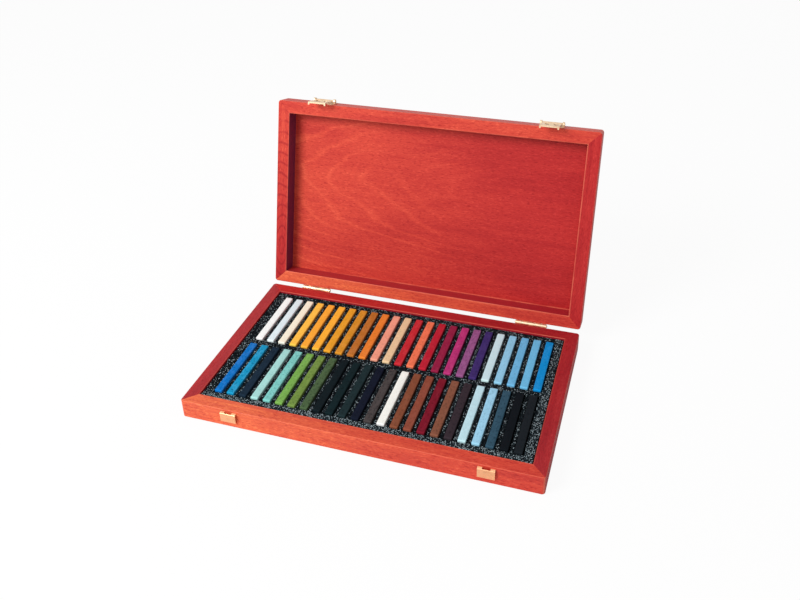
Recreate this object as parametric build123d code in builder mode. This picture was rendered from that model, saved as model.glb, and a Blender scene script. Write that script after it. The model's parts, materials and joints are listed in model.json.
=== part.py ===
"""Hinged wooden case for two rows of square pastel sticks, lid open. Millimetres.

X runs along the case, left to right; Y from the front to the back; Z up.
The origin is the middle of the underside. Lid pieces are described where they
lie on the closed case, and lid_place turns them about the hinge pins to the open lid.
"""
import math
import os

from build123d import *

os.makedirs("parts", exist_ok=True)

# ---------- driving dimensions ----------
# pastel sticks and their foam
stick_size = 7.2  # square section
stick_length = 75.0
stick_round = 0.45  # softened arrises
sticks_per_row = 24
sticks_per_node = 2
stick_pitch = 12.35  # from one stick to the next
row_gap = 8.3  # between the ends of the two rows
stick_proud = 1.0  # how far a stick stands above the foam
stick_seat_gap = 0.1  # under a seated stick
slot_gap_left = 0.3
slot_gap_right = 1.4
slot_gap_end = 0.8
slot_corner = 0.8
foam_floor = 8.9  # foam left under the slots
foam_gap = 0.6  # from the foam to the inside of the case
back_row_shift = 1.1  # the back row lies this far to the right of the middle
front_row_shift = -0.2

# wooden base and lid
end_margin = 10.8  # from the rows' ends to the inside of the case
front_margin = 9.4
back_margin = 8.7
rail_thickness = 13.0
panel_thickness = 3.0
panel_rabbet = 5.0  # how far a panel reaches into the rails
panel_gap = 0.1  # round a panel in its rabbet
rim_above_stick = 0.4
lid_depth = 17.0  # from the lid's rim to its panel
corner_radius = 3.0  # upright outer corners
outer_arris = 1.3
rim_arris = 0.7
inner_arris = 0.5
parting_gap = 0.2  # between the two rims when the case is closed
open_angle = 104.6  # how far the lid turns up from closed

# butt hinges on the back
hinge_inset = 50.0  # from the case's end to the middle of a hinge
hinge_length = 32.0
hinge_standoff = 2.2  # from the back face to the pin's axis
barrel_radius = 2.1
hinge_pin_radius = 1.0
hinge_pin_tip = 0.8  # how far a pin's domed end stands out
pin_clearance = 0.06
knuckles = 5
knuckle_gap = 0.2
leaf_thickness = 0.8
leaf_reach = 9.6  # from the pin's axis to the leaf's far edge
leaf_corner = 0.8

# nails of hinges and catches
nail_radius = 0.6
nail_head_radius = 1.4
nail_head_height = 0.6
nail_length = 7.0
nail_fit = 0.05
hinge_nail_spacing = 11.0

# keepers on the base's front
catch_inset = 49.5  # from the case's end to the middle of a keeper and its catch
sheet = 0.7  # brass sheet of keepers and hasps
keeper_width = 15.4
keeper_drop = 2.1  # from the rim down to the keeper
keeper_slope = 0.8  # how far its top falls from the wood to its front
keeper_height = 10.3
keeper_projection = 2.5
notch_width = 7.2
notch_rim = 0.5  # brass left in front of the notch
prong_width = 2.2
prong_length = 5.0
prong_fit = 0.05

# catches on the lid's front
catch_width = 24.0
catch_plate_height = 12.0
catch_plate_thickness = 0.8
catch_plate_rise = 3.4  # from the parting plane up to the plate
catch_pin_rise = 8.4  # from the parting plane up to the pivot
catch_pin_radius = 0.7
catch_pin_tip = 0.5
ear_thickness = 2.0
ear_radius = 2.3
hasp_width = 19.2
hasp_side_gap = 0.4  # least gap between hasp and ears
hasp_clearance = 0.3  # from the keeper's front to the hasp
hasp_barrel_radius = 1.45
lip_gap = 0.7  # from the keeper's bottom to the hasp's lip
lip_reach = 1.5  # how far the lip turns in towards the wood
lip_arris = 0.3
hook_width = 1.6  # the lip's two ends, which reach in further
hook_reach = 3.0
window_width = 11.4
window_bottom = 5.4  # from the lip up to the window
window_height = 10.0
tongue_width = 4.6
tongue_tip_depth = 1.1  # how far the tongue's tip goes down behind the keeper's front
catch_nail_spacing = 10.0
catch_nail_edge = 2.2  # from the plate's top edge to its nails

# ---------- places worked out from them ----------
row_length = (sticks_per_row - 1) * stick_pitch + stick_size
inner_length = row_length + 2 * end_margin
inner_width = 2 * stick_length + row_gap + front_margin + back_margin
case_length = inner_length + 2 * rail_thickness
case_width = inner_width + 2 * rail_thickness
front_face = -case_width / 2
back_face = case_width / 2

slot_floor = panel_thickness + foam_floor
stick_bottom = slot_floor + stick_seat_gap
foam_top = slot_floor + stick_size - stick_proud
base_height = slot_floor + stick_size + rim_above_stick
lid_height = lid_depth + panel_thickness
lid_rim = base_height + parting_gap
lid_top = lid_rim + lid_height

hinge_y = back_face + hinge_standoff
hinge_z = base_height + parting_gap / 2
hinge_xs = (-case_length / 2 + hinge_inset, case_length / 2 - hinge_inset)
catch_xs = (-case_length / 2 + catch_inset, case_length / 2 - catch_inset)
sides = ("left", "right")

rows = {
    "front": (front_row_shift, -inner_width / 2 + front_margin),
    "back": (back_row_shift, inner_width / 2 - back_margin - stick_length),
}


# ---------- planes ----------
def base_place(x, y, z):
    """Level plane at a point of the base."""
    return Plane(origin=(x, y, z))


lid_turn = math.radians(open_angle)
lid_frame = Plane(
    origin=(0, hinge_y, hinge_z),
    x_dir=(1, 0, 0),
    z_dir=(0, math.sin(lid_turn), math.cos(lid_turn)),
)


def lid_place(x, y, z):
    """The plane that lies level at this point when the lid is closed, turned open with it."""
    origin = lid_frame.from_local_coords(Vector(x, y - hinge_y, z - hinge_z))
    return Plane(origin=origin, x_dir=lid_frame.x_dir, z_dir=lid_frame.z_dir)


def facing_front(plane):
    """Sketch X stays, sketch Y is up, and extruding goes out of the front face."""
    return Plane(origin=plane.origin, x_dir=plane.x_dir, z_dir=-plane.y_dir)


def facing_back(plane):
    """Sketch Y is up, and extruding goes out of the back face."""
    return Plane(origin=plane.origin, x_dir=-plane.x_dir, z_dir=plane.y_dir)


def facing_right(plane):
    """Sketch X runs to the back, sketch Y is up, and extruding goes along +X."""
    return Plane(origin=plane.origin, x_dir=plane.y_dir, z_dir=plane.x_dir)


def finish(part, name):
    part.label = name
    export_step(part, f"parts/{name}.step")


# ---------- wooden frames ----------
def rail_ring(place, bottom, height, panel_bottom, rim_up):
    """A mitred frame in one piece, with the rabbet for its panel."""
    level = place(0, 0, 0)
    flat = Plane(origin=level.origin, z_dir=level.z_dir)
    up = Axis(level.origin, level.z_dir)
    rim, outside = (-1, 0) if rim_up else (0, -1)
    with BuildPart() as ring:
        with BuildSketch(place(0, 0, bottom)):
            RectangleRounded(case_length, case_width, corner_radius)
            Rectangle(inner_length, inner_width, mode=Mode.SUBTRACT)
        extrude(amount=height)
        with BuildSketch(place(0, 0, panel_bottom)):
            Rectangle(inner_length + 2 * panel_rabbet, inner_width + 2 * panel_rabbet)
        extrude(amount=panel_thickness, mode=Mode.SUBTRACT)
        fillet(ring.faces().filter_by(flat).sort_by(up)[outside].outer_wire().edges(), outer_arris)
        fillet(ring.faces().filter_by(flat).sort_by(up)[rim].outer_wire().edges(), rim_arris)
        fillet(ring.faces().filter_by(flat).sort_by(up)[rim].inner_wires()[0].edges(), inner_arris)
    return ring.part


mitre_corners = {
    "front": ((-1, -1), (1, -1)),
    "back": ((1, 1), (-1, 1)),
    "left": ((-1, 1), (-1, -1)),
    "right": ((1, -1), (1, 1)),
}


def finish_rails(ring, place, bottom, height, holes, name):
    """The four rails of a ring, cut apart on its mitres, with the holes of their side."""
    reach = rail_thickness * 1.2
    spare = 1.0
    half_x, half_y = case_length / 2, case_width / 2
    for side, corners in mitre_corners.items():
        outline = [(sx * (half_x + spare), sy * (half_y + spare)) for sx, sy in corners]
        outline += [(sx * (half_x - reach), sy * (half_y - reach)) for sx, sy in reversed(corners)]
        with BuildPart() as rail:
            add(ring)
            with BuildSketch(place(0, 0, bottom - spare)):
                with BuildLine():
                    Polyline(*outline, close=True)
                make_face()
            extrude(amount=height + 2 * spare, mode=Mode.INTERSECT)
            if side in holes:
                add(holes[side], mode=Mode.SUBTRACT)
        finish(rail.part, f"{name}_{side}_rail")


def nail_spots(centre_xs, spacing, count):
    """X of each nail of a row of count nails, on each of the centres."""
    return [x + (k - (count - 1) / 2) * spacing for x in centre_xs for k in range(count)]


hinge_nail_reach = (barrel_radius + knuckle_gap + leaf_reach) / 2
hinge_nail_xs = nail_spots(hinge_xs, hinge_nail_spacing, 3)
catch_nail_xs = nail_spots(catch_xs, catch_nail_spacing, 2)
catch_plate_bottom = lid_rim + catch_plate_rise
catch_nail_z = catch_plate_bottom + catch_plate_height - catch_nail_edge


def nail_holes(place, facing, face_y, xs, z):
    """What blind holes for nails take out of the wood behind a face."""
    with BuildPart() as holes:
        for x in xs:
            with BuildSketch(facing(place(x, face_y, z))):
                Circle(nail_radius + nail_fit)
            extrude(amount=-nail_length - nail_fit)
    return holes.part


keeper_top = base_height - keeper_drop
keeper_bottom = keeper_top - keeper_height
prong_offset = (notch_width + keeper_width) / 4


def prong_spots(centre_xs):
    """X and height of the prongs of the keepers on these centres."""
    heights = (keeper_bottom + sheet / 2, keeper_top - sheet / 2)
    return [(x + turn * prong_offset, z) for x in centre_xs for turn in (-1, 1) for z in heights]


base_ring = rail_ring(base_place, 0, base_height, 0, True)
lid_ring = rail_ring(lid_place, lid_rim, lid_height, lid_rim + lid_depth, False)

with BuildPart() as prong_holes:
    for x, z in prong_spots(catch_xs):
        with BuildSketch(facing_front(base_place(x, front_face, z))):
            Rectangle(prong_width + 2 * prong_fit, sheet + 2 * prong_fit)
        extrude(amount=-prong_length - prong_fit)

base_hinge_nail_z = hinge_z - hinge_nail_reach
lid_hinge_nail_z = hinge_z + hinge_nail_reach
base_holes = {
    "front": prong_holes.part,
    "back": nail_holes(base_place, facing_back, back_face, hinge_nail_xs, base_hinge_nail_z),
}
lid_holes = {
    "front": nail_holes(lid_place, facing_front, front_face, catch_nail_xs, catch_nail_z),
    "back": nail_holes(lid_place, facing_back, back_face, hinge_nail_xs, lid_hinge_nail_z),
}
finish_rails(base_ring, base_place, 0, base_height, base_holes, "base")
finish_rails(lid_ring, lid_place, lid_rim, lid_height, lid_holes, "lid")

panel_length = inner_length + 2 * (panel_rabbet - panel_gap)
panel_width = inner_width + 2 * (panel_rabbet - panel_gap)

with BuildPart() as base_panel:
    with BuildSketch(base_place(0, 0, 0)):
        Rectangle(panel_length, panel_width)
    extrude(amount=panel_thickness)
finish(base_panel.part, "base_panel")

with BuildPart() as lid_panel:
    with BuildSketch(lid_place(0, 0, lid_rim + lid_depth)):
        Rectangle(panel_length, panel_width)
    extrude(amount=panel_thickness)
finish(lid_panel.part, "lid_panel")


# ---------- foam and pastels ----------
def stick_x(row, number):
    """X of a stick's middle; number counts from 0 at the left."""
    return rows[row][0] - row_length / 2 + stick_size / 2 + number * stick_pitch


slot_width = stick_size + slot_gap_left + slot_gap_right
slot_length = stick_length + 2 * slot_gap_end
slot_offset = (slot_gap_right - slot_gap_left) / 2

with BuildPart() as foam_insert:
    with BuildSketch(base_place(0, 0, panel_thickness)):
        Rectangle(inner_length - 2 * foam_gap, inner_width - 2 * foam_gap)
    extrude(amount=foam_top - panel_thickness)
    for row, (_, row_start) in rows.items():
        spots = [(stick_x(row, k) + slot_offset, row_start + stick_length / 2) for k in range(sticks_per_row)]
        with BuildSketch(base_place(0, 0, slot_floor)):
            with Locations(*spots):
                RectangleRounded(slot_width, slot_length, slot_corner)
        extrude(amount=foam_top - slot_floor, mode=Mode.SUBTRACT)
finish(foam_insert.part, "foam_insert")

for row, (_, row_start) in rows.items():
    for first in range(0, sticks_per_row, sticks_per_node):
        numbers = range(first, min(first + sticks_per_node, sticks_per_row))
        with BuildPart() as pastels:
            with BuildSketch(base_place(0, row_start + stick_length / 2, stick_bottom)):
                with Locations(*[(stick_x(row, k), 0) for k in numbers]):
                    Rectangle(stick_size, stick_length)
            extrude(amount=stick_size)
            fillet(pastels.edges(), stick_round)
        finish(pastels.part, f"pastels_{row}_{numbers[0] + 1:02d}_{numbers[-1] + 1:02d}")


# ---------- hinges ----------
knuckle_pitch = hinge_length / knuckles
knuckle_length = knuckle_pitch - knuckle_gap
leaf_start = barrel_radius + knuckle_gap


def hinge_leaf(place, x_mid, turn, own_knuckles):
    """One leaf with its knuckles. turn is -1 for the base's leaf, below the pin, and 1 for the lid's."""
    back_plane = facing_back(place(x_mid, back_face, hinge_z))
    with BuildPart() as leaf:
        with BuildSketch(back_plane):
            with Locations((0, turn * (leaf_start + leaf_reach) / 2)):
                RectangleRounded(hinge_length - knuckle_gap, leaf_reach - leaf_start, leaf_corner)
        extrude(amount=leaf_thickness)
        for k in own_knuckles:
            x = x_mid + (k + 0.5) * knuckle_pitch - hinge_length / 2
            strap = leaf_start + leaf_corner
            with BuildSketch(facing_back(place(x, back_face, hinge_z))):
                with Locations((0, turn * strap / 2)):
                    Rectangle(knuckle_length, strap)
            extrude(amount=leaf_thickness)
            with BuildSketch(facing_right(place(x - knuckle_length / 2, hinge_y, hinge_z))):
                Circle(barrel_radius)
            extrude(amount=knuckle_length)
        with BuildSketch(facing_right(place(x_mid - hinge_length / 2, hinge_y, hinge_z))):
            Circle(hinge_pin_radius + pin_clearance)
        extrude(amount=hinge_length, mode=Mode.SUBTRACT)
        with BuildSketch(back_plane):
            with Locations(*[(x, turn * hinge_nail_reach) for x in nail_spots([0], hinge_nail_spacing, 3)]):
                Circle(nail_radius + nail_fit)
        extrude(amount=leaf_thickness, mode=Mode.SUBTRACT)
    return leaf.part


def domed_pin(place, x_mid, y, z, radius, length, tip):
    """A plain pin along X whose two ends are domed, tip beyond length at each end."""
    whole = length + 2 * tip
    with BuildPart() as pin:
        with BuildSketch(facing_right(place(x_mid - whole / 2, y, z))):
            Circle(radius)
        extrude(amount=whole)
        rounds = pin.faces().sort_by(Axis.X)
        fillet(rounds[0].edges() + rounds[-1].edges(), min(tip, radius) * 0.8)
    return pin.part


for side, x_mid in zip(sides, hinge_xs):
    base_knuckles = range(0, knuckles, 2)
    lid_knuckles = range(1, knuckles, 2)
    finish(hinge_leaf(base_place, x_mid, -1, base_knuckles), f"hinge_base_leaf_{side}")
    finish(hinge_leaf(lid_place, x_mid, 1, lid_knuckles), f"hinge_lid_leaf_{side}")
    pin = domed_pin(base_place, x_mid, hinge_y, hinge_z, hinge_pin_radius, hinge_length, hinge_pin_tip)
    finish(pin, f"hinge_pin_{side}")


def nails(place, facing, face_y, xs, z, plate):
    """Round-headed nails driven through a plate of this thickness."""
    with BuildPart() as group:
        for x in xs:
            with BuildSketch(facing(place(x, face_y, z))):
                Circle(nail_radius)
            extrude(amount=-nail_length)
            with BuildSketch(facing(place(x, face_y, z))):
                Circle(nail_radius)
            extrude(amount=plate)
            head_plane = facing(place(x, face_y, z)).offset(plate)
            with BuildSketch(head_plane):
                Circle(nail_head_radius)
            extrude(amount=nail_head_height, taper=35)
    return group.part


base_nails = nails(base_place, facing_back, back_face, hinge_nail_xs, base_hinge_nail_z, leaf_thickness)
lid_nails = nails(lid_place, facing_back, back_face, hinge_nail_xs, lid_hinge_nail_z, leaf_thickness)
catch_nails = nails(
    lid_place, facing_front, front_face, catch_nail_xs, catch_nail_z, catch_plate_thickness
)
finish(base_nails, "hinge_nails_base")
finish(lid_nails, "hinge_nails_lid")
finish(catch_nails, "catch_nails")

# ---------- keepers ----------
keeper_front_top = keeper_top - keeper_slope
# the bent strip in front of the wood, where sketch X is negative outwards
keeper_section = [
    (0, keeper_top),
    (-keeper_projection, keeper_front_top),
    (-keeper_projection, keeper_bottom),
    (0, keeper_bottom),
    (0, keeper_bottom + sheet),
    (sheet - keeper_projection, keeper_bottom + sheet),
    (sheet - keeper_projection, keeper_front_top - sheet / 2),
    (0, keeper_top - sheet),
]


def keeper_strip(x_mid):
    """A keeper with the notch in its top and the four prongs that hold it in the rail."""
    with BuildPart() as keeper:
        with BuildSketch(facing_right(base_place(x_mid - keeper_width / 2, front_face, 0))):
            with BuildLine():
                Polyline(*keeper_section, close=True)
            make_face()
        extrude(amount=keeper_width)
        fillet(keeper.edges().filter_by(Axis.X).group_by(Axis.Y)[0], sheet * 0.9)
        with BuildSketch(base_place(x_mid, front_face, keeper_front_top - sheet)):
            with Locations((0, (notch_rim - keeper_projection) / 2)):
                Rectangle(notch_width, keeper_projection - notch_rim)
        extrude(amount=keeper_slope + 2 * sheet, mode=Mode.SUBTRACT)
        for x, z in prong_spots([x_mid]):
            with BuildSketch(facing_front(base_place(x, front_face, z))):
                Rectangle(prong_width, sheet)
            extrude(amount=-prong_length)
    return keeper.part


for side, x_mid in zip(sides, catch_xs):
    finish(keeper_strip(x_mid), f"keeper_{side}")

# ---------- catches ----------
catch_pin_z = lid_rim + catch_pin_rise
hasp_inside = keeper_projection + hasp_clearance  # from the front face out to the hasp's back
hasp_outside = hasp_inside + sheet
catch_pin_y = front_face - hasp_inside  # the pivot lies in the plane of the hasp's back
hasp_half = min(hasp_width, catch_width - 2 * (ear_thickness + hasp_side_gap)) / 2
lip_top = keeper_bottom - lip_gap
lip_bottom = lip_top - sheet
window_low = lip_top + window_bottom
window_high = window_low + window_height
tongue_in = keeper_projection - sheet - hasp_clearance  # its outside, clear of the keeper's front
tongue_tip = keeper_top - keeper_slope - tongue_tip_depth

hasp_section = [
    (-hasp_inside, catch_pin_z),
    (-hasp_outside, catch_pin_z),
    (-hasp_outside, lip_bottom + lip_arris),
    (-hasp_outside + lip_arris, lip_bottom),
    (-hasp_outside + lip_reach, lip_bottom),
    (-hasp_outside + lip_reach, lip_top),
    (-hasp_inside, lip_top),
]
tongue_section = [
    (-hasp_outside, window_high),
    (-hasp_inside, window_high),
    (-tongue_in + sheet, keeper_top),
    (-tongue_in + sheet, tongue_tip),
    (-tongue_in, tongue_tip),
    (-tongue_in, keeper_top - sheet / 2),
]


def catch_plate(x_mid):
    """The plate nailed to the lid, with the two ears that hold the pivot."""
    with BuildPart() as plate:
        with BuildSketch(facing_front(lid_place(x_mid, front_face, catch_plate_bottom))):
            with Locations((0, catch_plate_height / 2)):
                RectangleRounded(catch_width, catch_plate_height, leaf_corner)
            nail_y = catch_nail_z - catch_plate_bottom
            with Locations(*[(x, nail_y) for x in nail_spots([0], catch_nail_spacing, 2)]):
                Circle(nail_radius + nail_fit, mode=Mode.SUBTRACT)
        extrude(amount=catch_plate_thickness)
        for left_x in (x_mid - catch_width / 2, x_mid + catch_width / 2 - ear_thickness):
            with BuildSketch(facing_right(lid_place(left_x, front_face, catch_pin_z))):
                with Locations((-hasp_inside, 0)):
                    Circle(ear_radius)
                with Locations((-hasp_inside / 2, 0)):
                    Rectangle(hasp_inside, 2 * ear_radius)
                with Locations((-hasp_inside, 0)):
                    Circle(catch_pin_radius + pin_clearance, mode=Mode.SUBTRACT)
            extrude(amount=ear_thickness)
    return plate.part


def catch_hasp(x_mid):
    """The swinging plate: barrel, window with its tongue, and the lip under the keeper with its hooks."""
    left_x = x_mid - hasp_half
    with BuildPart() as hasp:
        with BuildSketch(facing_right(lid_place(left_x, front_face, 0))):
            with BuildLine():
                Polyline(*hasp_section, close=True)
            make_face()
        extrude(amount=2 * hasp_half)
        hook_middle = (hook_reach + lip_arris) / 2 - hasp_outside
        with BuildSketch(lid_place(x_mid, front_face + hook_middle, lip_bottom)):
            with Locations(*[(turn * (hasp_half - hook_width / 2), 0) for turn in (-1, 1)]):
                Rectangle(hook_width, hook_reach - lip_arris)
        extrude(amount=sheet)
        with BuildSketch(facing_front(lid_place(x_mid, front_face, window_low))):
            with Locations((0, window_height / 2)):
                RectangleRounded(window_width, window_height, leaf_corner)
        extrude(amount=hasp_outside + sheet, mode=Mode.SUBTRACT)
        with BuildSketch(facing_right(lid_place(x_mid - tongue_width / 2, front_face, 0))):
            with BuildLine():
                Polyline(*tongue_section, close=True)
            make_face()
        extrude(amount=tongue_width)
        with BuildSketch(facing_right(lid_place(left_x, catch_pin_y, catch_pin_z))):
            Circle(hasp_barrel_radius)
        extrude(amount=2 * hasp_half)
        with BuildSketch(facing_right(lid_place(left_x, catch_pin_y, catch_pin_z))):
            Circle(catch_pin_radius + pin_clearance)
        extrude(amount=2 * hasp_half, mode=Mode.SUBTRACT)
    return hasp.part


for side, x_mid in zip(sides, catch_xs):
    finish(catch_plate(x_mid), f"catch_plate_{side}")
    finish(catch_hasp(x_mid), f"catch_hasp_{side}")
    pin = domed_pin(
        lid_place, x_mid, catch_pin_y, catch_pin_z, catch_pin_radius, catch_width, catch_pin_tip
    )
    finish(pin, f"catch_pin_{side}")

pin_places = [lid_place(x, catch_pin_y, catch_pin_z).origin for x in catch_xs]
print(f"case {case_length:.2f} x {case_width:.2f}, base {base_height:.2f}, lid {lid_height:.2f}")
print(f"hinge axis y {hinge_y:.3f} z {hinge_z:.3f}; lid open {open_angle} degrees")
print("catch pins", [(round(at.X, 3), round(at.Y, 3), round(at.Z, 3)) for at in pin_places])
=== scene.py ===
"""Looks of the hinged pastel case on the CAD frame: stained wood, brass, speckled foam and chalk sticks."""

import json
import math

import bpy
from mathutils import Matrix, Vector, noise


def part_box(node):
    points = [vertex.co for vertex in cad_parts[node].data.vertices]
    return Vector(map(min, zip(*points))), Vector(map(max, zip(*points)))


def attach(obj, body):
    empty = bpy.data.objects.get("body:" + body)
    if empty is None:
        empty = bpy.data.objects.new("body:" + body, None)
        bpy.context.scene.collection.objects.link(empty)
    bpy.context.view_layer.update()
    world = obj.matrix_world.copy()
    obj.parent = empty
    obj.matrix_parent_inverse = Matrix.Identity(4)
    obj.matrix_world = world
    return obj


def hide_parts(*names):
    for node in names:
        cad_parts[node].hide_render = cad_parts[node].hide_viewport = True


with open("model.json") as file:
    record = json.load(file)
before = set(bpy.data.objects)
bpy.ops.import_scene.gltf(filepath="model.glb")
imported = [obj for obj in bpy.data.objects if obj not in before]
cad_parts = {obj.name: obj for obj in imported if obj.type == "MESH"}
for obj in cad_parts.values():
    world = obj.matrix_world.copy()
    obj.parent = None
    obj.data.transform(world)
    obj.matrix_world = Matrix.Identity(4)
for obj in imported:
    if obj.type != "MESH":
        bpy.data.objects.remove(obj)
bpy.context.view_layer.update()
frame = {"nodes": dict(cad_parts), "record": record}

MM = 0.001
ALONG_X = 0.0
ALONG_Y = math.pi / 2
TO_BACK = (0.0, 1.0, 0.0)
TO_FRONT = (0.0, -1.0, 0.0)
TO_RIGHT = (1.0, 0.0, 0.0)
TO_LEFT = (-1.0, 0.0, 0.0)
DOWN = (0.0, 0.0, -1.0)

lid_hinge = next(j for j in frame["record"]["behaviour"]["joints"] if j["name"] == "lid_hinge")
LID_TILT = math.radians(-min(lid_hinge["range_deg"]))
HINGE = Vector(lid_hinge["pos_m"])
INNER_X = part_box("base_right_rail")[0].x
INNER_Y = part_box("base_back_rail")[0].y


def srgb(red, green, blue):
    """A colour given as it looks on a screen, 0 to 255, as linear light."""
    linear = [((c / 255 + 0.055) / 1.055) ** 2.4 if c > 10 else c / 255 / 12.92 for c in (red, green, blue)]
    return (*linear, 1.0)


def scaled(colour, factor):
    """A colour with red, green and blue each multiplied by a factor, and none above full."""
    return (*(min(1.0, c * f) for c, f in zip(colour[:3], factor)), 1.0)


def linked(name, data):
    """A new object in the scene."""
    made = bpy.data.objects.new(name, data)
    bpy.context.scene.collection.objects.link(made)
    return made


class Finish:
    """One procedural material, laid out node by node in the object's own coordinates."""

    def __init__(self, name):
        self.material = bpy.data.materials.new(name)
        self.material.use_nodes = True
        self.tree = self.material.node_tree
        self.shader = self.tree.nodes["Principled BSDF"]
        coordinates = self.tree.nodes.new("ShaderNodeTexCoord")
        self.place = coordinates.outputs["Object"]
        self.facing = coordinates.outputs["Normal"]

    def put(self, socket, value):
        """Links a socket to another node's output, or sets it to a constant."""
        if isinstance(value, bpy.types.NodeSocket):
            self.tree.links.new(value, socket)
        else:
            socket.default_value = value

    def node(self, kind, sockets=(), **settings):
        made = self.tree.nodes.new(kind)
        for key, value in settings.items():
            setattr(made, key, value)
        for key, value in dict(sockets).items():
            self.put(made.inputs[key], value)
        return made

    def mapped(self, vector, scale=(1, 1, 1), turn=(0, 0, 0), shift=(0, 0, 0)):
        sockets = {"Vector": vector, "Scale": scale, "Rotation": turn, "Location": shift}
        return self.node("ShaderNodeMapping", sockets).outputs["Vector"]

    def noise(self, vector, scale, detail=2.0, roughness=0.5, distortion=0.0):
        sockets = {"Vector": vector, "Scale": scale, "Detail": detail, "Roughness": roughness}
        sockets["Distortion"] = distortion
        return self.node("ShaderNodeTexNoise", sockets).outputs["Fac"]

    def parts(self, vector):
        """The X, Y and Z of a vector."""
        return self.node("ShaderNodeSeparateXYZ", {"Vector": vector}).outputs

    def dot(self, vector, direction):
        made = self.node("ShaderNodeVectorMath", {0: vector, 1: direction}, operation="DOT_PRODUCT")
        return made.outputs["Value"]

    def math(self, operation, first, second=0.0, third=0.0):
        made = self.node("ShaderNodeMath", operation=operation)
        for socket, value in zip(made.inputs, (first, second, third)):
            self.put(socket, value)
        return made.outputs[0]

    def steps(self, factor, low, high, out_low=0.0, out_high=1.0):
        """Rises smoothly from out_low to out_high while the factor goes from low to high."""
        sockets = {"Value": factor, "From Min": low, "From Max": high, "To Min": out_low, "To Max": out_high}
        made = self.node("ShaderNodeMapRange", sockets, interpolation_type="SMOOTHSTEP")
        return made.outputs["Result"]

    def ramp(self, factor, stops):
        """A colour ramp of (position, colour) stops."""
        made = self.node("ShaderNodeValToRGB", {"Fac": factor})
        elements = made.color_ramp.elements
        while len(elements) < len(stops):
            elements.new(0.5)
        for element, (position, colour) in zip(elements, stops):
            element.position = position
            element.color = colour
        return made.outputs["Color"]

    def blend(self, factor, first, second, mode="MIX"):
        made = self.node("ShaderNodeMix", data_type="RGBA", blend_type=mode)
        self.put(made.inputs["Factor"], factor)
        self.put(made.inputs["A"], first)
        self.put(made.inputs["B"], second)
        return made.outputs["Result"]

    def bump(self, height, distance, strength):
        sockets = {"Height": height, "Distance": distance, "Strength": strength}
        return self.node("ShaderNodeBump", sockets).outputs["Normal"]

    def squared_facing(self, tilt):
        """The surface's direction in the axes of the closed case."""
        made = self.node("ShaderNodeMapping", {"Vector": self.facing, "Rotation": (tilt, 0.0, 0.0)})
        made.vector_type = "VECTOR"
        return made.outputs["Vector"]

    def arris(self, squared):
        """1 on rounded edges, 0 on the flat faces of a piece whose faces lie square in these axes."""
        sizes = [self.math("ABSOLUTE", part) for part in self.parts(squared)]
        widest = self.math("MAXIMUM", self.math("MAXIMUM", sizes[0], sizes[1]), sizes[2])
        return self.steps(widest, 0.985, 0.80)

    def finish(self, **constants):
        for key, value in constants.items():
            self.put(self.shader.inputs[key.replace("_", " ").title().replace("Ior", "IOR")], value)
        return self.material


# ---------------------------------------------------------------- stained wood

ORANGE_STAIN = srgb(225, 100, 65)
RED_STAIN = srgb(205, 65, 50)
DEEP_STAIN = srgb(185, 40, 40)
WINE_STAIN = srgb(165, 35, 40)
# each piece's stain at the case's left and right ends, and for the side rails at its front and back; the
# darkening from left to right is partly the wood's tone and partly painted shade of the lamp's falloff
BASE_FRONT_STAIN_AND_SHADE = (ORANGE_STAIN, RED_STAIN)
BASE_BACK_STAIN_AND_SHADE = (DEEP_STAIN, WINE_STAIN)
BASE_SIDE_STAIN = (WINE_STAIN, WINE_STAIN)
LID_TOP_STAIN = (RED_STAIN, RED_STAIN)
LID_BOTTOM_STAIN_AND_SHADE = (ORANGE_STAIN, RED_STAIN)
LID_LEFT_STAIN = (RED_STAIN, DEEP_STAIN)
LID_RIGHT_STAIN = (DEEP_STAIN, DEEP_STAIN)
PANEL_STAIN_AND_SHADE = (RED_STAIN, DEEP_STAIN)
# painted shade of the recessed inner walls, deepest on the lid's left wall that faces away from the key lamp
WALL_PAINTED_SHADE = srgb(168, 32, 48)
DEEP_WALL_PAINTED_SHADE = srgb(96, 38, 74)
# painted highlight colour of the wood's arrises and inner edges
EDGE_HIGHLIGHT_PAINT = srgb(238, 124, 96)
# what the stain is multiplied by in the dark and pale flecks of the grain, and how far at most
DARK_FLECK = (0.72, 0.42, 0.50, 1.0)
PALE_FLECK = (1.20, 1.65, 1.55, 1.0)
DARK_FLECK_COVER = 0.85
PALE_FLECK_COVER = 0.75
# noise scales per metre, along the grain and across it
FIBRE_SCALE = (120, 1500, 1500)
STREAK_SCALE = (9, 210, 210)
CLOUD_SCALE = (14, 40, 40)
DARK_FLECK_SCALE = (230, 980, 980)
PALE_FLECK_SCALE = (260, 820, 820)
ARC_WANDER_SCALE = (9, 26, 26)
ARC_PATCH_SCALE = (8, 18, 18)
WEAR_SCALE = (60, 60, 60)
# shifts that give the pale flecks, and each piece, a part of the noise of their own
PALE_FLECK_SHIFT = (0.31, 0.17, 0.23)
PIECE_SHIFT = (0.37, 0.11, 0.07)
# how much each noise adds to the tone
FIBRE_SHARE = 0.34
STREAK_SHARE = 0.36
CLOUD_SHARE = 0.30
NOISE_MEAN = 0.5
# each tone, and what the stain is multiplied by there
SHADES = (
    (0.30, (0.70, 0.42, 0.60)),
    (0.46, (0.92, 0.80, 0.90)),
    (0.56, (1.06, 1.16, 1.10)),
    (0.74, (1.22, 1.75, 1.55)),
)
# the nested arcs: how far they wander, in spacings, how thin they are, and how they fade along X
ARC_WANDER = 2.2
ARC_SHARPNESS = 4.0
ARC_FADE_PLACES = (-0.02, 0.05)
ARC_STRENGTHS = (1.0, 0.25)
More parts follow.
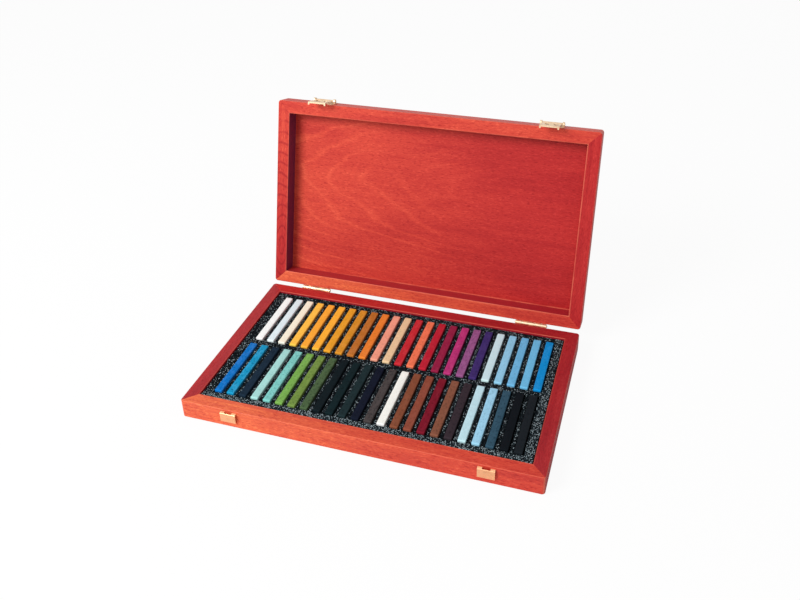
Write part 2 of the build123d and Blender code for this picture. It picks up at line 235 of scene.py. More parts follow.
# distance past the inner walls at which the painted highlight line starts and is full, and where along X it
# grows
HIGHLIGHT_ON_RAIL = (1.5 * MM, 0.4 * MM)
HIGHLIGHT_ON_PANEL = (-1.5 * MM, -0.5 * MM)
HIGHLIGHT_PLACES_ON_PANEL = (-0.15, -0.02)
# how far the painted highlight covers the arrises, and the painted shade the inner wall
ARRIS_HIGHLIGHT_COVER = 0.45
WALL_SHADE_COVER = 0.88
GRAIN_RELIEF = 0.06 * MM  # depth of the grain's bump


def with_arcs(f, tone, closed, plain, grain, figure):
    """Adds to the tone the nested arcs that a flat-sawn board shows, weaker towards the right.

    figure is (place along the grain, place across it, length to width, spacing, strength); a strength below 0
    makes the arcs dark.
    """
    at_along, at_across, aspect, spacing, strength = figure
    local = f.mapped(
        plain,
        (1 / (aspect * spacing), 1 / spacing, 0.0),
        shift=(-at_along / (aspect * spacing), -at_across / spacing, 0.0),
    )
    wander = f.noise(f.mapped(grain, ARC_WANDER_SCALE), 1.0, 2.0, 0.5)
    reach = f.node("ShaderNodeVectorMath", {0: local}, operation="LENGTH").outputs["Value"]
    reach = f.math("MULTIPLY_ADD", wander, ARC_WANDER, reach)
    ring = f.math("SINE", f.math("MULTIPLY", reach, math.tau))
    ring = f.math("POWER", f.math("MAXIMUM", ring, 0.0), ARC_SHARPNESS)
    shown = f.steps(f.noise(f.mapped(grain, ARC_PATCH_SCALE), 1.0, 1.0, 0.5), 0.30, 0.50)
    shown = f.math("MULTIPLY", shown, f.steps(f.parts(closed)[0], *ARC_FADE_PLACES, *ARC_STRENGTHS))
    return f.math("MULTIPLY_ADD", f.math("MULTIPLY", ring, shown), strength, tone)


def wall_shade_and_edge_highlight(f, base, ends, grain, squared, inward, wall, edge_highlight):
    """Darkens a rail's inner wall with painted shade and paints a highlight on its arrises and inner edge, or
    on a panel's edge.
    """
    end_x, end_y, _ = ends
    past_x = f.math("SUBTRACT", f.math("ABSOLUTE", end_x), INNER_X)
    past_y = f.math("SUBTRACT", f.math("ABSOLUTE", end_y), INNER_Y)
    past_edge = f.math("MAXIMUM", past_x, past_y)
    uneven = f.noise(f.mapped(grain, WEAR_SCALE), 1.0, 2.0, 0.5)
    if inward:
        walls = f.steps(f.dot(squared, inward), 0.55, 0.92)
        rim = f.steps(f.math("ABSOLUTE", f.parts(squared)[2]), 0.2, 0.6)
        line = f.math("MULTIPLY", f.steps(past_edge, *HIGHLIGHT_ON_RAIL), rim)
        # painted highlight on the arrises, then painted shade on the inner wall
        base = f.blend(f.math("MULTIPLY", f.arris(squared), ARRIS_HIGHLIGHT_COVER), base, EDGE_HIGHLIGHT_PAINT)
        base = f.blend(f.math("MULTIPLY", walls, WALL_SHADE_COVER), base, wall)
    else:
        inner_face = f.steps(f.dot(squared, DOWN), 0.5, 0.9)
        line = f.steps(past_edge, *HIGHLIGHT_ON_PANEL)
        line = f.math("MULTIPLY", line, f.steps(end_x, *HIGHLIGHT_PLACES_ON_PANEL))
        line = f.math("MULTIPLY", line, inner_face)
    # painted highlight line along the inner edge
    line = f.math("MULTIPLY", line, f.steps(uneven, 0.30, 0.62, 0.4 * edge_highlight, 1.2 * edge_highlight))
    return f.blend(line, base, EDGE_HIGHLIGHT_PAINT)


def wood(name, stains_and_shade, along, tilt, seed, inward=None, wall=WALL_PAINTED_SHADE, edge_highlight=0.5, figure=None, streaks=1.0):
    """Stained and varnished light wood with its grain along the piece, painted shade on its inner wall and a
    painted highlight on its inner edge.

    inward is the direction in which a rail's inner wall faces, and wall is the painted shade on that wall.
    """
    f = Finish(name)
    back_turned = HINGE - Matrix.Rotation(tilt, 3, "X") @ HINGE
    closed = f.mapped(f.place, turn=(tilt, 0.0, 0.0), shift=back_turned if tilt else (0, 0, 0))
    plain = f.mapped(closed, turn=(0.0, 0.0, along))
    grain = f.mapped(plain, shift=[seed * part for part in PIECE_SHIFT])
    fibre = f.noise(f.mapped(grain, FIBRE_SCALE), 1.0, 3.0, 0.6)
    streak = f.noise(f.mapped(grain, STREAK_SCALE), 1.0, 3.0, 0.55, 0.3)
    cloud = f.noise(f.mapped(grain, CLOUD_SCALE), 1.0, 2.0, 0.5)
    tone = f.math("MULTIPLY_ADD", fibre, FIBRE_SHARE, STREAK_SHARE * NOISE_MEAN * (1 - streaks))
    tone = f.math("MULTIPLY_ADD", streak, STREAK_SHARE * streaks, tone)
    tone = f.math("MULTIPLY_ADD", cloud, CLOUD_SHARE, tone)
    if figure:
        tone = with_arcs(f, tone, closed, plain, grain, figure)
    shades = [
        f.ramp(tone, [(position, scaled(stain, factor)) for position, factor in SHADES]) for stain in stains_and_shade
    ]
    ends = f.parts(closed)
    # blends the two ends' stain colours, which carry painted falloff shade on some pieces
    toward = f.steps(ends[1], -INNER_Y, INNER_Y) if along else f.steps(ends[0], -INNER_X, INNER_X)
    base = f.blend(toward, shades[0], shades[1])
    dark_fleck = f.noise(f.mapped(grain, DARK_FLECK_SCALE), 1.0, 2.0, 0.6)
    pale_fleck = f.noise(f.mapped(grain, PALE_FLECK_SCALE, shift=PALE_FLECK_SHIFT), 1.0, 2.0, 0.6)
    base = f.blend(f.steps(dark_fleck, 0.53, 0.68, 0.0, DARK_FLECK_COVER), base, DARK_FLECK, "MULTIPLY")
    base = f.blend(f.steps(pale_fleck, 0.53, 0.68, 0.0, PALE_FLECK_COVER), base, PALE_FLECK, "MULTIPLY")
    base = wall_shade_and_edge_highlight(f, base, ends, grain, f.squared_facing(tilt), inward, wall, edge_highlight)
    height = f.math("MULTIPLY_ADD", fibre, 0.7, f.math("MULTIPLY", dark_fleck, -0.5))
    f.put(f.shader.inputs["Base Color"], base)
    f.put(f.shader.inputs["Roughness"], f.steps(streak, 0.3, 0.7, 0.38, 0.50))
    f.put(f.shader.inputs["Normal"], f.bump(height, GRAIN_RELIEF, 0.5))
    return f.finish(specular_ior_level=0.20)


def dress(node, material):
    """Gives a CAD node its material."""
    node_mesh = frame["nodes"][node].data
    node_mesh.materials.clear()
    node_mesh.materials.append(material)


LEFT_RAIL_FIGURE = (-0.06, -0.163, 3.0, 0.0038, -0.22)
PANEL_FIGURE = (0.17, -0.022, 4.0, 0.0095, 0.12)
# each rail's stain pair with some painted falloff shade, grain, tilt, inner wall's direction and painted
# shade, painted highlight line's strength, and figure
RAILS = (
    ("base_front_rail", BASE_FRONT_STAIN_AND_SHADE, ALONG_X, 0.0, TO_BACK, WALL_PAINTED_SHADE, 0.35, None),
    ("base_back_rail", BASE_BACK_STAIN_AND_SHADE, ALONG_X, 0.0, TO_FRONT, WALL_PAINTED_SHADE, 0.40, None),
    ("base_left_rail", BASE_SIDE_STAIN, ALONG_Y, 0.0, TO_RIGHT, WALL_PAINTED_SHADE, 0.12, None),
    ("base_right_rail", BASE_SIDE_STAIN, ALONG_Y, 0.0, TO_LEFT, WALL_PAINTED_SHADE, 0.10, None),
    ("lid_front_rail", LID_TOP_STAIN, ALONG_X, LID_TILT, TO_BACK, WALL_PAINTED_SHADE, 0.25, None),
    ("lid_back_rail", LID_BOTTOM_STAIN_AND_SHADE, ALONG_X, LID_TILT, TO_FRONT, WALL_PAINTED_SHADE, 0.50, None),
    ("lid_left_rail", LID_LEFT_STAIN, ALONG_Y, LID_TILT, TO_RIGHT, DEEP_WALL_PAINTED_SHADE, 0.25, LEFT_RAIL_FIGURE),
    ("lid_right_rail", LID_RIGHT_STAIN, ALONG_Y, LID_TILT, TO_LEFT, WALL_PAINTED_SHADE, 0.45, None),
)
for number, (rail, stains_and_shade, along, tilt, inward, wall, edge_highlight, figure) in enumerate(RAILS, 1):
    dress(rail, wood("wood_" + rail, stains_and_shade, along, tilt, float(number), inward, wall, edge_highlight, figure))
base_panel_wood = wood("wood_base_panel", PANEL_STAIN_AND_SHADE, ALONG_X, 0.0, 9.0, edge_highlight=0.0, figure=PANEL_FIGURE)
lid_panel_wood = wood(
    "wood_lid_panel", PANEL_STAIN_AND_SHADE, ALONG_X, LID_TILT, 10.0, figure=PANEL_FIGURE, streaks=0.55
)
dress("base_panel", base_panel_wood)
dress("lid_panel", lid_panel_wood)

# ---------------------------------------------------------------- brass

PALE_BRASS = srgb(234, 206, 172)
# the keepers' peach tint is a painted reflection of the red wood beside them
BRASS_WITH_PAINTED_WOOD_REFLECTION = srgb(248, 188, 142)
TARNISH = srgb(150, 98, 58)
TARNISH_COVER = 0.55
# noise scales per metre, along X, Y and Z
TARNISH_SCALE = (110, 110, 110)
ROLLED_SCALE = (60, 2600, 2600)
PIT_SCALE = (2400, 2400, 2400)
BRASS_RELIEF = 0.02 * MM  # depth of the rolling lines' and pits' bump


def brass(name, colour, seed):
    """Thin plated sheet brass: faint rolling lines, tarnish in patches and a few tiny pits."""
    f = Finish(name)
    place = f.mapped(f.place, shift=(seed, seed * 0.3, 0.0))
    patch = f.noise(f.mapped(place, TARNISH_SCALE), 1.0, 4.0, 0.6)
    rolled = f.noise(f.mapped(place, ROLLED_SCALE), 1.0, 2.0, 0.5)
    pits = f.noise(f.mapped(place, PIT_SCALE), 1.0, 1.0, 0.5)
    base = f.blend(f.steps(patch, 0.42, 0.80, 0.0, TARNISH_COVER), colour, TARNISH)
    f.put(f.shader.inputs["Base Color"], base)
    f.put(f.shader.inputs["Roughness"], f.steps(patch, 0.35, 0.75, 0.34, 0.52))
    relief = f.math("MULTIPLY_ADD", rolled, 0.5, f.steps(pits, 0.74, 0.66))
    f.put(f.shader.inputs["Normal"], f.bump(relief, BRASS_RELIEF, 0.6))
    return f.finish(metallic=1.0)


HARDWARE = brass("brass_hinges_and_catches", PALE_BRASS, 1.0)
# keepers get the brass with the painted reflection of the wood
KEEPER_BRASS_WITH_PAINTED_REFLECTION = brass("brass_keepers_painted_reflection", BRASS_WITH_PAINTED_WOOD_REFLECTION, 2.0)
for node in frame["nodes"]:
    if node.startswith("keeper"):
        dress(node, KEEPER_BRASS_WITH_PAINTED_REFLECTION)
    elif node.startswith(("hinge", "catch")):
        dress(node, HARDWARE)

# ---------------------------------------------------------------- pastels

WHITE = (245, 252, 250)
YELLOW = (255, 185, 45)
OCHRE = (205, 135, 40)
ORANGE = (240, 125, 50)
SIENNA = (165, 85, 45)
VERMILION = (230, 80, 55)
CRIMSON = (180, 25, 50)
MAGENTA = (180, 40, 110)
VIOLET = (65, 45, 105)
ULTRAMARINE = (40, 50, 125)
COBALT = (10, 100, 185)
CERULEAN = (15, 140, 210)
TURQUOISE = (40, 165, 155)
SAP_GREEN = (110, 165, 70)
UMBER = (115, 70, 55)
BLACK = (15, 20, 25)


def mixed(first, second, share, white):
    """A stick's colour: the first pigment with a share of the second, let down with a share of white."""
    pigment = [a + (b - a) * share for a, b in zip(first, second)]
    return srgb(*(c + (w - c) * white for c, w in zip(pigment, WHITE)))


# each stick's first pigment, second pigment, share of the second, share of white, and mottle
BACK_STICKS = (
    ("chalk_white", WHITE, WHITE, 0.0, 0.0, 0.1),
    ("ice_white", WHITE, CERULEAN, 0.1, 0.0, 0.1),
    ("ivory", WHITE, YELLOW, 0.15, 0.0, 0.1),
    ("golden_yellow", YELLOW, OCHRE, 0.0, 0.15, 0.15),
    ("light_orange", YELLOW, ORANGE, 0.3, 0.05, 0.15),
    ("cadmium_yellow_deep", YELLOW, ORANGE, 0.15, 0.05, 0.15),
    ("gold_ochre", YELLOW, OCHRE, 0.5, 0.0, 0.2),
    ("dark_ochre", YELLOW, OCHRE, 0.85, 0.0, 0.25),
    ("raw_sienna", OCHRE, SIENNA, 0.5, 0.0, 0.25),
    ("burnt_orange", ORANGE, OCHRE, 0.3, 0.0, 0.2),
    ("salmon_pink", VERMILION, ORANGE, 0.3, 0.4, 0.2),
    ("naples_tan", OCHRE, ORANGE, 0.2, 0.55, 0.2),
    ("brick_red", VERMILION, CRIMSON, 0.7, 0.0, 0.25),
    ("coral", VERMILION, ORANGE, 0.3, 0.15, 0.25),
    ("crimson", CRIMSON, VERMILION, 0.1, 0.0, 0.2),
    ("carmine", CRIMSON, VIOLET, 0.3, 0.0, 0.25),
    ("magenta_pink", MAGENTA, VIOLET, 0.0, 0.05, 0.3),
    ("dusty_mauve", MAGENTA, VIOLET, 0.5, 0.2, 0.4),
    ("dark_violet", VIOLET, ULTRAMARINE, 0.1, 0.0, 0.4),
    ("pale_ice_blue", CERULEAN, TURQUOISE, 0.3, 0.8, 0.1),
    ("powder_blue", CERULEAN, WHITE, 0.55, 0.0, 0.2),
    ("cornflower_blue", CERULEAN, COBALT, 0.2, 0.4, 0.25),
    ("sky_blue", CERULEAN, WHITE, 0.4, 0.0, 0.2),
    ("cerulean_blue", CERULEAN, COBALT, 0.0, 0.0, 0.25),
)
FRONT_STICKS = (
    ("cobalt_blue", COBALT, CERULEAN, 0.3, 0.0, 0.35),
    ("turquoise_blue", CERULEAN, TURQUOISE, 0.3, 0.0, 0.45),
    ("indigo_black", BLACK, COBALT, 0.15, 0.05, 0.4),
    ("pale_mint", TURQUOISE, WHITE, 0.0, 0.6, 0.2),
    ("turquoise_mint", TURQUOISE, WHITE, 0.0, 0.4, 0.35),
    ("grass_green", SAP_GREEN, YELLOW, 0.0, 0.05, 0.35),
    ("olive_green", SAP_GREEN, UMBER, 0.25, 0.0, 0.35),
    ("moss_grey", SAP_GREEN, BLACK, 0.6, 0.1, 0.5),
    ("bottle_black", BLACK, TURQUOISE, 0.05, 0.0, 0.4),
    ("deep_teal", BLACK, TURQUOISE, 0.1, 0.0, 0.4),
    ("deep_green", BLACK, TURQUOISE, 0.1, 0.05, 0.4),
    ("night_navy", BLACK, ULTRAMARINE, 0.15, 0.0, 0.4),
    ("dark_umber", BLACK, UMBER, 0.25, 0.15, 0.5),
    ("warm_white", WHITE, OCHRE, 0.05, 0.0, 0.1),
    ("reddish_brown", UMBER, SIENNA, 0.3, 0.0, 0.3),
    ("red_oxide", UMBER, VERMILION, 0.2, 0.0, 0.3),
    ("burgundy", CRIMSON, BLACK, 0.35, 0.0, 0.35),
    ("sienna_brown", UMBER, SIENNA, 0.2, 0.05, 0.35),
    ("plum_black", BLACK, CRIMSON, 0.1, 0.1, 0.4),
    ("pale_aqua", CERULEAN, TURQUOISE, 0.3, 0.75, 0.15),
    ("light_blue", WHITE, CERULEAN, 0.4, 0.0, 0.25),
    ("slate", BLACK, CERULEAN, 0.25, 0.15, 0.4),
    ("black", BLACK, WHITE, 0.0, 0.0, 0.3),
    ("soft_black", BLACK, WHITE, 0.05, 0.0, 0.3),
)
# the paler near end: how much lighter, how far it reaches and is full, how it wanders, and its cover
NEAR_END_LIGHTENING = (1.25, 1.25, 1.25)
NEAR_TINT_REACH = 3.2 * MM
NEAR_TINT_FULL = 1.6 * MM
NEAR_TINT_WANDER = 2.0 * MM
NEAR_TINT_COVER = 0.8
# noise scales per metre, along X, Y and Z
SMUDGE_SCALE = (280, 130, 280)
GRAIN_SCALE = (2600, 2600, 2600)
SCRATCH_SCALE = (2200, 120, 2200)
SPOT_SCALE = (560, 440, 560)
SPOT_DARKENING = (0.50, 0.54, 0.58)  # what the colour is multiplied by in dark spots and grains
# how far dusting, dark spots, grains and the painted edge highlight cover a stick; the first two grow with
# its mottle
DUST_COVER = 1.1
SPOT_COVER = 3.0
SPOT_POWER = 1.5
GRAIN_COVER = 0.25
STICK_EDGE_HIGHLIGHT_COVER = 0.5
CHALK_RELIEF = 0.12 * MM  # depth of the grains' and scratches' bump


def dust_and_highlight_colour(colour):
    """The paler colour of a stick's dusting, also used for its painted edge highlight, a little greyer on
    bright sticks.
    """
    brightness = min(1.0, 2.4 * max(colour[:3]))
    return tuple(c * 1.30 + (0.80 - c) * 0.07 * brightness**2 for c in colour[:3]) + (1.0,)


def chalk(name, colour, mottle, seed, near_end, near_tint):
    """Pressed chalk: matt, mottled, with a painted highlight on its edges, paler at its near end, with fine
    scratches.
    """
    f = Finish(name)
    place = f.mapped(f.place, shift=(seed, seed * 0.7, 0.0))
    cloud = f.noise(f.mapped(place, SMUDGE_SCALE), 1.0, 4.0, 0.65)
    grains = f.noise(f.mapped(place, GRAIN_SCALE), 1.0, 2.0, 0.6)
    scratch = f.noise(f.mapped(place, SCRATCH_SCALE), 1.0, 2.0, 0.5)
    spots = f.noise(f.mapped(place, SPOT_SCALE), 1.0, 2.0, 0.6)
    dark = scaled(colour, SPOT_DARKENING)
    dust_and_highlight = dust_and_highlight_colour(colour)
    base = f.blend(f.steps(cloud, 0.44, 0.62, 0.0, mottle * DUST_COVER), colour, dust_and_highlight)
    spot_cover = min(1.0, SPOT_COVER * mottle**SPOT_POWER)
    base = f.blend(f.steps(spots, 0.54, 0.64, 0.0, spot_cover), base, dark)
    base = f.blend(f.steps(grains, 0.60, 0.76, 0.0, GRAIN_COVER), base, dark)
    # painted highlight on the stick's rounded edges
    base = f.blend(f.math("MULTIPLY", f.arris(f.facing), STICK_EDGE_HIGHLIGHT_COVER), base, dust_and_highlight)
    along = f.math("MULTIPLY_ADD", cloud, NEAR_TINT_WANDER, f.parts(f.place)[1])
    reached = f.steps(along, near_end + NEAR_TINT_REACH, near_end + NEAR_TINT_FULL)
    base = f.blend(f.math("MULTIPLY", reached, NEAR_TINT_COVER), base, near_tint)
    relief = f.math("MULTIPLY_ADD", grains, 0.6, f.math("MULTIPLY", scratch, 0.5))
    f.put(f.shader.inputs["Base Color"], base)
    f.put(f.shader.inputs["Roughness"], f.steps(cloud, 0.3, 0.7, 0.86, 0.97))
    f.put(f.shader.inputs["Normal"], f.bump(relief, CHALK_RELIEF, 0.5))
    return f.finish(specular_ior_level=0.06)


EDGE_RADIUS = 0.45 * MM
LEAST_EDGE_RADIUS = 0.3 * MM
END_RADIUS = 0.6 * MM
# a stick's faces: how uneven, the noise scales per metre of the ripple and bow, and the bow's share
UNEVENNESS = 0.07 * MM
RIPPLE_SCALE = 260
BOW_SCALE = 22
BOW_SHARE = 1.4
UNEVENNESS_SEED = 7
# how many steps make up a stick's length, its rounded ends, its rounded edges and its faces
RING_GAPS = 26
END_STEPS = 4
CORNER_STEPS = 4
FACE_STEPS = 3


def rounded_square(half, radius):
    """Points of a square with rounded corners, in order."""
    points = []
    for quarter in range(4):
        start = quarter * math.pi / 2
        middle = Vector((math.cos(start + math.pi / 4), math.sin(start + math.pi / 4)))
        centre = middle * (half - radius) * math.sqrt(2)
        for step in range(CORNER_STEPS + 1):
            angle = start + step / CORNER_STEPS * math.pi / 2
            points.append(centre + Vector((math.cos(angle), math.sin(angle))) * radius)
        side = (half - radius) * 2
        way = Vector((-math.sin(start + math.pi / 2), math.cos(start + math.pi / 2)))
        for step in range(1, FACE_STEPS):
            points.append(points[-1] + way * side / FACE_STEPS)
    return points


def stick(name, low, high, seed):
    """A square stick between two corners, along Y: softened edges and ends, and faintly uneven faces."""
    centre = (low + high) / 2
    half = (high.z - low.z) / 2
    length = high.y - low.y
    stations = [END_RADIUS * (1 - math.cos(step / END_STEPS * math.pi / 2)) for step in range(END_STEPS + 1)]
    middle = [END_RADIUS + (length - 2 * END_RADIUS) * step / RING_GAPS for step in range(1, RING_GAPS)]
    stations = stations + middle + [length - s for s in reversed(stations)]
    vertices = []
    rings = []
    for station in stations:
        reach = min(station, length - station, END_RADIUS)
        inset = END_RADIUS - math.sqrt(END_RADIUS**2 - (END_RADIUS - reach) ** 2)
        ring = []
        for point in rounded_square(half - inset, max(EDGE_RADIUS - inset * 0.3, LEAST_EDGE_RADIUS)):
            ring.append(len(vertices))
            vertices.append(Vector((centre.x + point.x, low.y + station, centre.z + point.y)))
        rings.append(ring)
    faces = []
    count = len(rings[0])
    for first, second in zip(rings, rings[1:]):
        for k in range(count):
            faces.append((first[k], first[(k + 1) % count], second[(k + 1) % count], second[k]))
    for ring, outward in ((rings[0], False), (rings[-1], True)):
        hub = len(vertices)
        vertices.append(sum((vertices[k] for k in ring), Vector()) / count)
        for k in range(count):
            edge = (ring[k], ring[(k + 1) % count])
            faces.append((*edge, hub) if outward else (edge[1], edge[0], hub))
    key = Vector((seed * 7.31, seed * 3.17, seed * 1.73))
    for vertex in vertices:
        ripple = noise.noise_vector(vertex * RIPPLE_SCALE + key) * UNEVENNESS
        bow = noise.noise_vector(Vector((0.0, vertex.y * BOW_SCALE, 0.0)) + key) * UNEVENNESS * BOW_SHARE
        vertex.x += ripple.x + bow.x
        vertex.y += ripple.y
        vertex.z += min(ripple.z + bow.z, 0.0)
    mesh = bpy.data.meshes.new(name)
    mesh.from_pydata(vertices, [], faces)
    mesh.shade_smooth()
    return linked(name, mesh)


def stick_box(row, number):
    """The pair node that holds a stick, and the stick's own lowest and highest corners."""
    first = number - (number + 1) % 2
    node = f"pastels_{row}_{first:02d}_{first + 1:02d}"
    low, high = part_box(node)
    side = high.z - low.z
    if number == first:
        return node, low, Vector((low.x + side, high.y, high.z))
    return node, Vector((high.x - side, low.y, low.z)), high


FRONT_SEED = 40.0  # keeps the front row's noise apart from the back row's
noise.seed_set(UNEVENNESS_SEED)  # without it the sticks' unevenness would differ from run to run
for row, sticks in (("back", BACK_STICKS), ("front", FRONT_STICKS)):
    for number, (pigment, first, second, share, white, mottle) in enumerate(sticks, 1):
        node, low, high = stick_box(row, number)
        seed = number + (FRONT_SEED if row == "front" else 0.0)
        piece = stick(f"pastel_{row}_{number:02d}", low, high, seed)
        colour = mixed(first, second, share, white)
        near_tint = scaled(colour, NEAR_END_LIGHTENING)
        name = f"chalk_{row}_{number:02d}_{pigment}"
        piece.data.materials.append(chalk(name, colour, mottle, seed, low.y, near_tint))
        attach(piece, node)
        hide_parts(node)

# ---------------------------------------------------------------- foam insert

# how far a slot reaches past its stick at the left, at the right and at the ends
SLOT_LEFT = 0.3 * MM
SLOT_RIGHT = 1.4 * MM
SLOT_END = 0.8 * MM
# the soft lip's radius, and the width within which a slot's wall drops to the floor
LIP = 0.6 * MM
WALL = 0.06 * MM
# the mesh's widest and narrowest spacing
FOAM_STEP = 3.0 * MM
LEAST_LINE_GAP = 0.005 * MM
# the rough surface's depth, and its noise scales per metre
FOAM_ROUGHNESS = 0.16 * MM
COARSE_FOAM = 480
FINE_FOAM = 1100


def slot_edges(row):
    """Each slot's left and right edges along X, and the row's near and far edges along Y."""
    edges = []
    for number in range(1, len(BACK_STICKS) + 1):
        _, low, high = stick_box(row, number)
        edges.append((low.x - SLOT_LEFT, high.x + SLOT_RIGHT))
    return edges, (low.y - SLOT_END, high.y + SLOT_END)


def cut_lines(low, high, edges):
    """Places for the mesh's lines: close together at every cut edge, and evenly spread elsewhere."""
    lines = {low, low + LIP * 0.4, low + LIP, high - LIP, high - LIP * 0.4, high}
    for left, right in edges:
        for edge, out in ((left, -1), (right, 1)):
            lines.update(edge + out * LIP * share for share in (1.0, 0.5, 0.2, 0.0))
            lines.add(edge - out * WALL)
        lines.add((left + right) / 2)
    ordered = sorted(lines)
    for before, after in zip(ordered, ordered[1:]):
        extra = int((after - before) / FOAM_STEP)
        lines.update(before + (after - before) * k / (extra + 1) for k in range(1, extra + 1))
    kept = []
    for line in sorted(lines):
        if not kept or line - kept[-1] > LEAST_LINE_GAP:
            kept.append(line)
    return kept


def foam_height(x, y, rows, top, floor, low, high):
    """The foam's surface: flat, with a soft lip round each slot and along the outer edge."""
    out = min(x - low.x, high.x - x, y - low.y, high.y - y)
    for edges, (near, far) in rows:
        if not near - LIP < y < far + LIP:
            continue
        for left, right in edges:
            if left - LIP < x < right + LIP:
                inside = min(x - left, right - x, y - near, far - y)
                if inside >= WALL * 0.9:
                    return floor
                out = min(out, max(-inside, 0.0))
    if out >= LIP:
        return top
    return top - (LIP - math.sqrt(max(LIP**2 - (LIP - out) ** 2, 0.0)))


def foam_block():
    """The foam insert as one closed mesh with a blind slot for each stick."""
    low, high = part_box("foam_insert")
    rows = [slot_edges("back"), slot_edges("front")]
    _, stick_low, _ = stick_box("back", 1)
    xs = cut_lines(low.x, high.x, rows[0][0] + rows[1][0])
    ys = cut_lines(low.y, high.y, [rows[0][1], rows[1][1]])
    vertices = []
    for y in ys:
        for x in xs:
            z = foam_height(x, y, rows, high.z, stick_low.z, low, high)
            point = Vector((x, y, z))
            if z > stick_low.z and low.x < x < high.x and low.y < y < high.y:
                grain = noise.noise(point * COARSE_FOAM) + 0.6 * noise.noise(point * FINE_FOAM)
                point.z += min(grain * FOAM_ROUGHNESS * 0.5 - FOAM_ROUGHNESS * 0.4, 0.0)
            vertices.append(point)
    wide = len(xs)
    tall = len(ys)
    faces = [
        (r * wide + c, r * wide + c + 1, (r + 1) * wide + c + 1, (r + 1) * wide + c)
        for r in range(tall - 1)
        for c in range(wide - 1)
    ]
    rim = list(range(wide))
    rim += [r * wide + wide - 1 for r in range(1, tall)]
    rim += [(tall - 1) * wide + c for c in range(wide - 2, -1, -1)]
    rim += [r * wide for r in range(tall - 2, 0, -1)]
    base = len(vertices)
    vertices += [Vector((vertices[k].x, vertices[k].y, low.z)) for k in rim]
    for k, top in enumerate(rim):
        after = (k + 1) % len(rim)
        faces.append((rim[after], top, base + k, base + after))
    faces.append(tuple(base + k for k in reversed(range(len(rim)))))
    mesh = bpy.data.meshes.new("foam_bed")
    mesh.from_pydata(vertices, [], faces)
    return linked("foam_bed", mesh)


# where the margins with more specks begin and are full: along Y at the front, along X at the right
FRONT_MARGIN = (-0.079, -0.082)
RIGHT_MARGIN = (0.146, 0.150)
# scales per metre of the large and small cells, of the crowding and of the shading
SPECK_CELLS = 1050.0
FINE_CELLS = 1900.0
CROWD_SCALE = 90.0
CROWD_SHIFT = (0.6, 2.2, 0.9)
SHADE_SCALE = 700.0
# the foam's colour at each value of the shading, and the colours of the small and large specks
FOAM_SHADES = ((0.36, srgb(5, 8, 11)), (0.54, srgb(11, 16, 20)), (0.72, srgb(22, 31, 36)))
DIM_SPECK = srgb(66, 82, 90)
PALE_SPECK = srgb(164, 182, 188)
# the share of cells without a speck, and how much it falls where they crowd and on the margins
BARE_SHARE = 0.93
CROWDING = 0.30
MARGIN_CROWDING = 0.24
CELL_RELIEF = 0.2 * MM  # depth of the cells' bump


def foam_finish():
    """Near-black foam with open cells, whose cut walls catch the light as crisp pale specks."""
    f = Finish("speckled_foam")
    along_x, along_y, _ = f.parts(f.place)
    margin = f.math("MAXIMUM", f.steps(along_y, *FRONT_MARGIN), f.steps(along_x, *RIGHT_MARGIN))
    cells = f.node("ShaderNodeTexVoronoi", {"Vector": f.place, "Scale": SPECK_CELLS}, feature="F1")
    chance = f.parts(cells.outputs["Color"])[0]
    small = f.node("ShaderNodeTexVoronoi", {"Vector": f.place, "Scale": FINE_CELLS}, feature="F1")
    small_chance = f.parts(small.outputs["Color"])[1]
    crowd = f.noise(f.mapped(f.place, shift=CROWD_SHIFT), CROWD_SCALE, 2.0, 0.5)
    shade = f.noise(f.place, SHADE_SCALE, 3.0, 0.7)
    base = f.ramp(shade, FOAM_SHADES)
    share = f.math("MULTIPLY_ADD", crowd, -CROWDING, BARE_SHARE)
    share = f.math("MULTIPLY_ADD", margin, -MARGIN_CROWDING, share)
    pale = f.steps(chance, share, f.math("ADD", share, 0.08))
    speck = f.math("MULTIPLY", pale, f.steps(cells.outputs["Distance"], 0.58, 0.30))
    dim = f.steps(small_chance, share, f.math("ADD", share, 0.10))
    fine = f.math("MULTIPLY", dim, f.steps(small.outputs["Distance"], 0.60, 0.34))
    base = f.blend(f.math("MULTIPLY", fine, 0.8), base, DIM_SPECK)
    base = f.blend(speck, base, PALE_SPECK)
    f.put(f.shader.inputs["Base Color"], base)
    f.put(f.shader.inputs["Normal"], f.bump(cells.outputs["Distance"], CELL_RELIEF, 0.4))
    return f.finish(roughness=0.92, specular_ior_level=0.04)


foam = foam_block()
foam.data.materials.append(foam_finish())
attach(foam, "case_base")
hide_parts("foam_insert")

# ---------------------------------------------------------------- stage, light and camera


def sheen_of_sky(tree, plain, bright, output):
    """Shows the bright surface to the camera and in reflections, and the plain one to all other light."""
    path = tree.nodes.new("ShaderNodeLightPath")
    seen = None
    for kind in ("Is Camera Ray", "Is Glossy Ray", "Is Transmission Ray"):
        if seen is None:
            seen = path.outputs[kind]
            continue
        either = tree.nodes.new("ShaderNodeMath")
        either.operation = "MAXIMUM"
        tree.links.new(seen, either.inputs[0])
        tree.links.new(path.outputs[kind], either.inputs[1])
        seen = either.outputs[0]
    mix = tree.nodes.new("ShaderNodeMixShader")
    tree.links.new(seen, mix.inputs[0])
    tree.links.new(plain, mix.inputs[1])
    tree.links.new(bright, mix.inputs[2])
    tree.links.new(mix.outputs[0], output)


WHITE_LIGHT = (1.0, 1.0, 1.0, 1.0)


def sky(tree, strength):
    """An even white sky."""
    made = tree.nodes.new("ShaderNodeBackground")
    made.inputs["Color"].default_value = WHITE_LIGHT
    made.inputs["Strength"].default_value = strength
    return made.outputs[0]


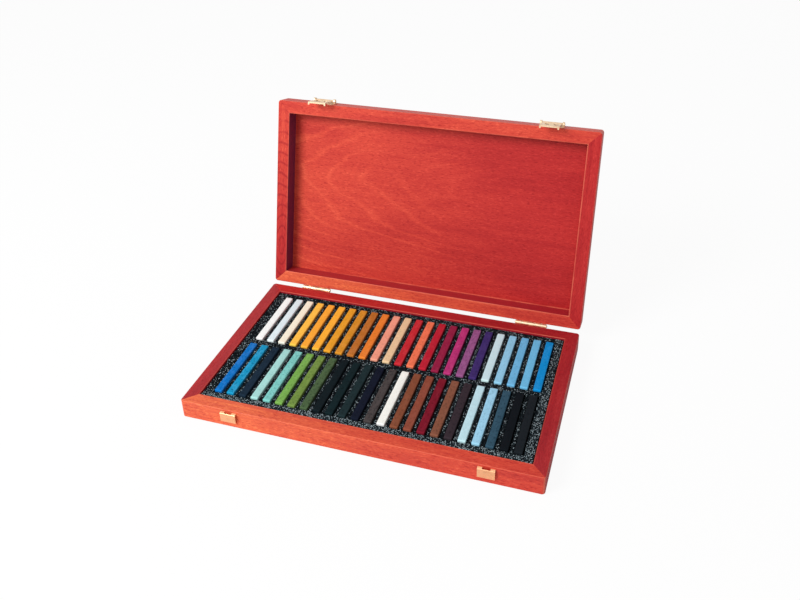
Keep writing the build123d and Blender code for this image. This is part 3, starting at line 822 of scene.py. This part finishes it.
AMBIENT = 0.50
world = bpy.data.worlds.new("studio")
bpy.context.scene.world = world
world.use_nodes = True
world.node_tree.nodes.clear()
world_out = world.node_tree.nodes.new("ShaderNodeOutputWorld")
dim_sky = sky(world.node_tree, AMBIENT)
white_sky = sky(world.node_tree, 1.0)
sheen_of_sky(world.node_tree, dim_sky, white_sky, world_out.inputs["Surface"])

FLOOR_HALF = 4.0
FLOOR_DROP = 0.2 * MM
FLOOR_WHITENESS = 0.93  # share of plain white that the camera sees over the lit paper
PAPER = srgb(246, 246, 246)
floor_mesh = bpy.data.meshes.new("floor")
floor_mesh.from_pydata(
    [(x * FLOOR_HALF, y * FLOOR_HALF, -FLOOR_DROP) for x, y in ((-1, -1), (1, -1), (1, 1), (-1, 1))],
    [],
    [(0, 1, 2, 3)],
)
floor = linked("floor", floor_mesh)
floor_paint = bpy.data.materials.new("floor_paper")
floor_paint.use_nodes = True
floor_shader = floor_paint.node_tree.nodes["Principled BSDF"]
floor_shader.inputs["Base Color"].default_value = PAPER
floor_shader.inputs["Roughness"].default_value = 0.9
floor_shader.inputs["Specular IOR Level"].default_value = 0.0
floor_tree = floor_paint.node_tree
floor_path = floor_tree.nodes.new("ShaderNodeLightPath")
floor_glow = floor_tree.nodes.new("ShaderNodeEmission")
floor_glow.inputs["Color"].default_value = WHITE_LIGHT
floor_glow.inputs["Strength"].default_value = 1.0
floor_share = floor_tree.nodes.new("ShaderNodeMath")
floor_share.operation = "MULTIPLY"
floor_share.inputs[1].default_value = FLOOR_WHITENESS
floor_mix = floor_tree.nodes.new("ShaderNodeMixShader")
floor_tree.links.new(floor_path.outputs["Is Camera Ray"], floor_share.inputs[0])
floor_tree.links.new(floor_share.outputs[0], floor_mix.inputs[0])
floor_tree.links.new(floor_shader.outputs[0], floor_mix.inputs[1])
floor_tree.links.new(floor_glow.outputs[0], floor_mix.inputs[2])
floor_tree.links.new(floor_mix.outputs[0], floor_tree.nodes["Material Output"].inputs["Surface"])
floor_mesh.materials.append(floor_paint)


def lamp(name, place, target, size, power):
    """Adds a soft square lamp that looks at a point."""
    data = bpy.data.lights.new(name, "AREA")
    data.shape = "SQUARE"
    data.size = size
    data.energy = power
    made = linked(name, data)
    made.location = place
    made.rotation_euler = (Vector(target) - Vector(place)).to_track_quat("-Z", "Y").to_euler()


KEY_PLACE = (-0.90, -1.15, 1.25)
KEY_TARGET = (0.0, 0.05, 0.08)
KEY_SIZE = 0.8
KEY_WATTS = 28.0
lamp("key_left", KEY_PLACE, KEY_TARGET, KEY_SIZE, KEY_WATTS)

FOCAL_PIXELS = 856.821
SENSOR = 36.0
PICTURE_WIDTH = 800
PICTURE_HEIGHT = 600
AXIS_PIXEL = (408.0, 210.0)
CAMERA_PLACE = (0.225537, -0.615079, 0.548916)
CAMERA_TURN = (1.069548, 0.020773, 0.306402)
camera_data = bpy.data.cameras.new("camera")
camera_data.sensor_width = SENSOR
camera_data.lens = FOCAL_PIXELS * SENSOR / PICTURE_WIDTH
camera_data.shift_x = (PICTURE_WIDTH / 2 - AXIS_PIXEL[0]) / PICTURE_WIDTH
camera_data.shift_y = (AXIS_PIXEL[1] - PICTURE_HEIGHT / 2) / PICTURE_WIDTH
camera = linked("camera", camera_data)
camera.location = CAMERA_PLACE
camera.rotation_euler = CAMERA_TURN
bpy.context.scene.camera = camera

bpy.context.scene.view_settings.view_transform = "Standard"
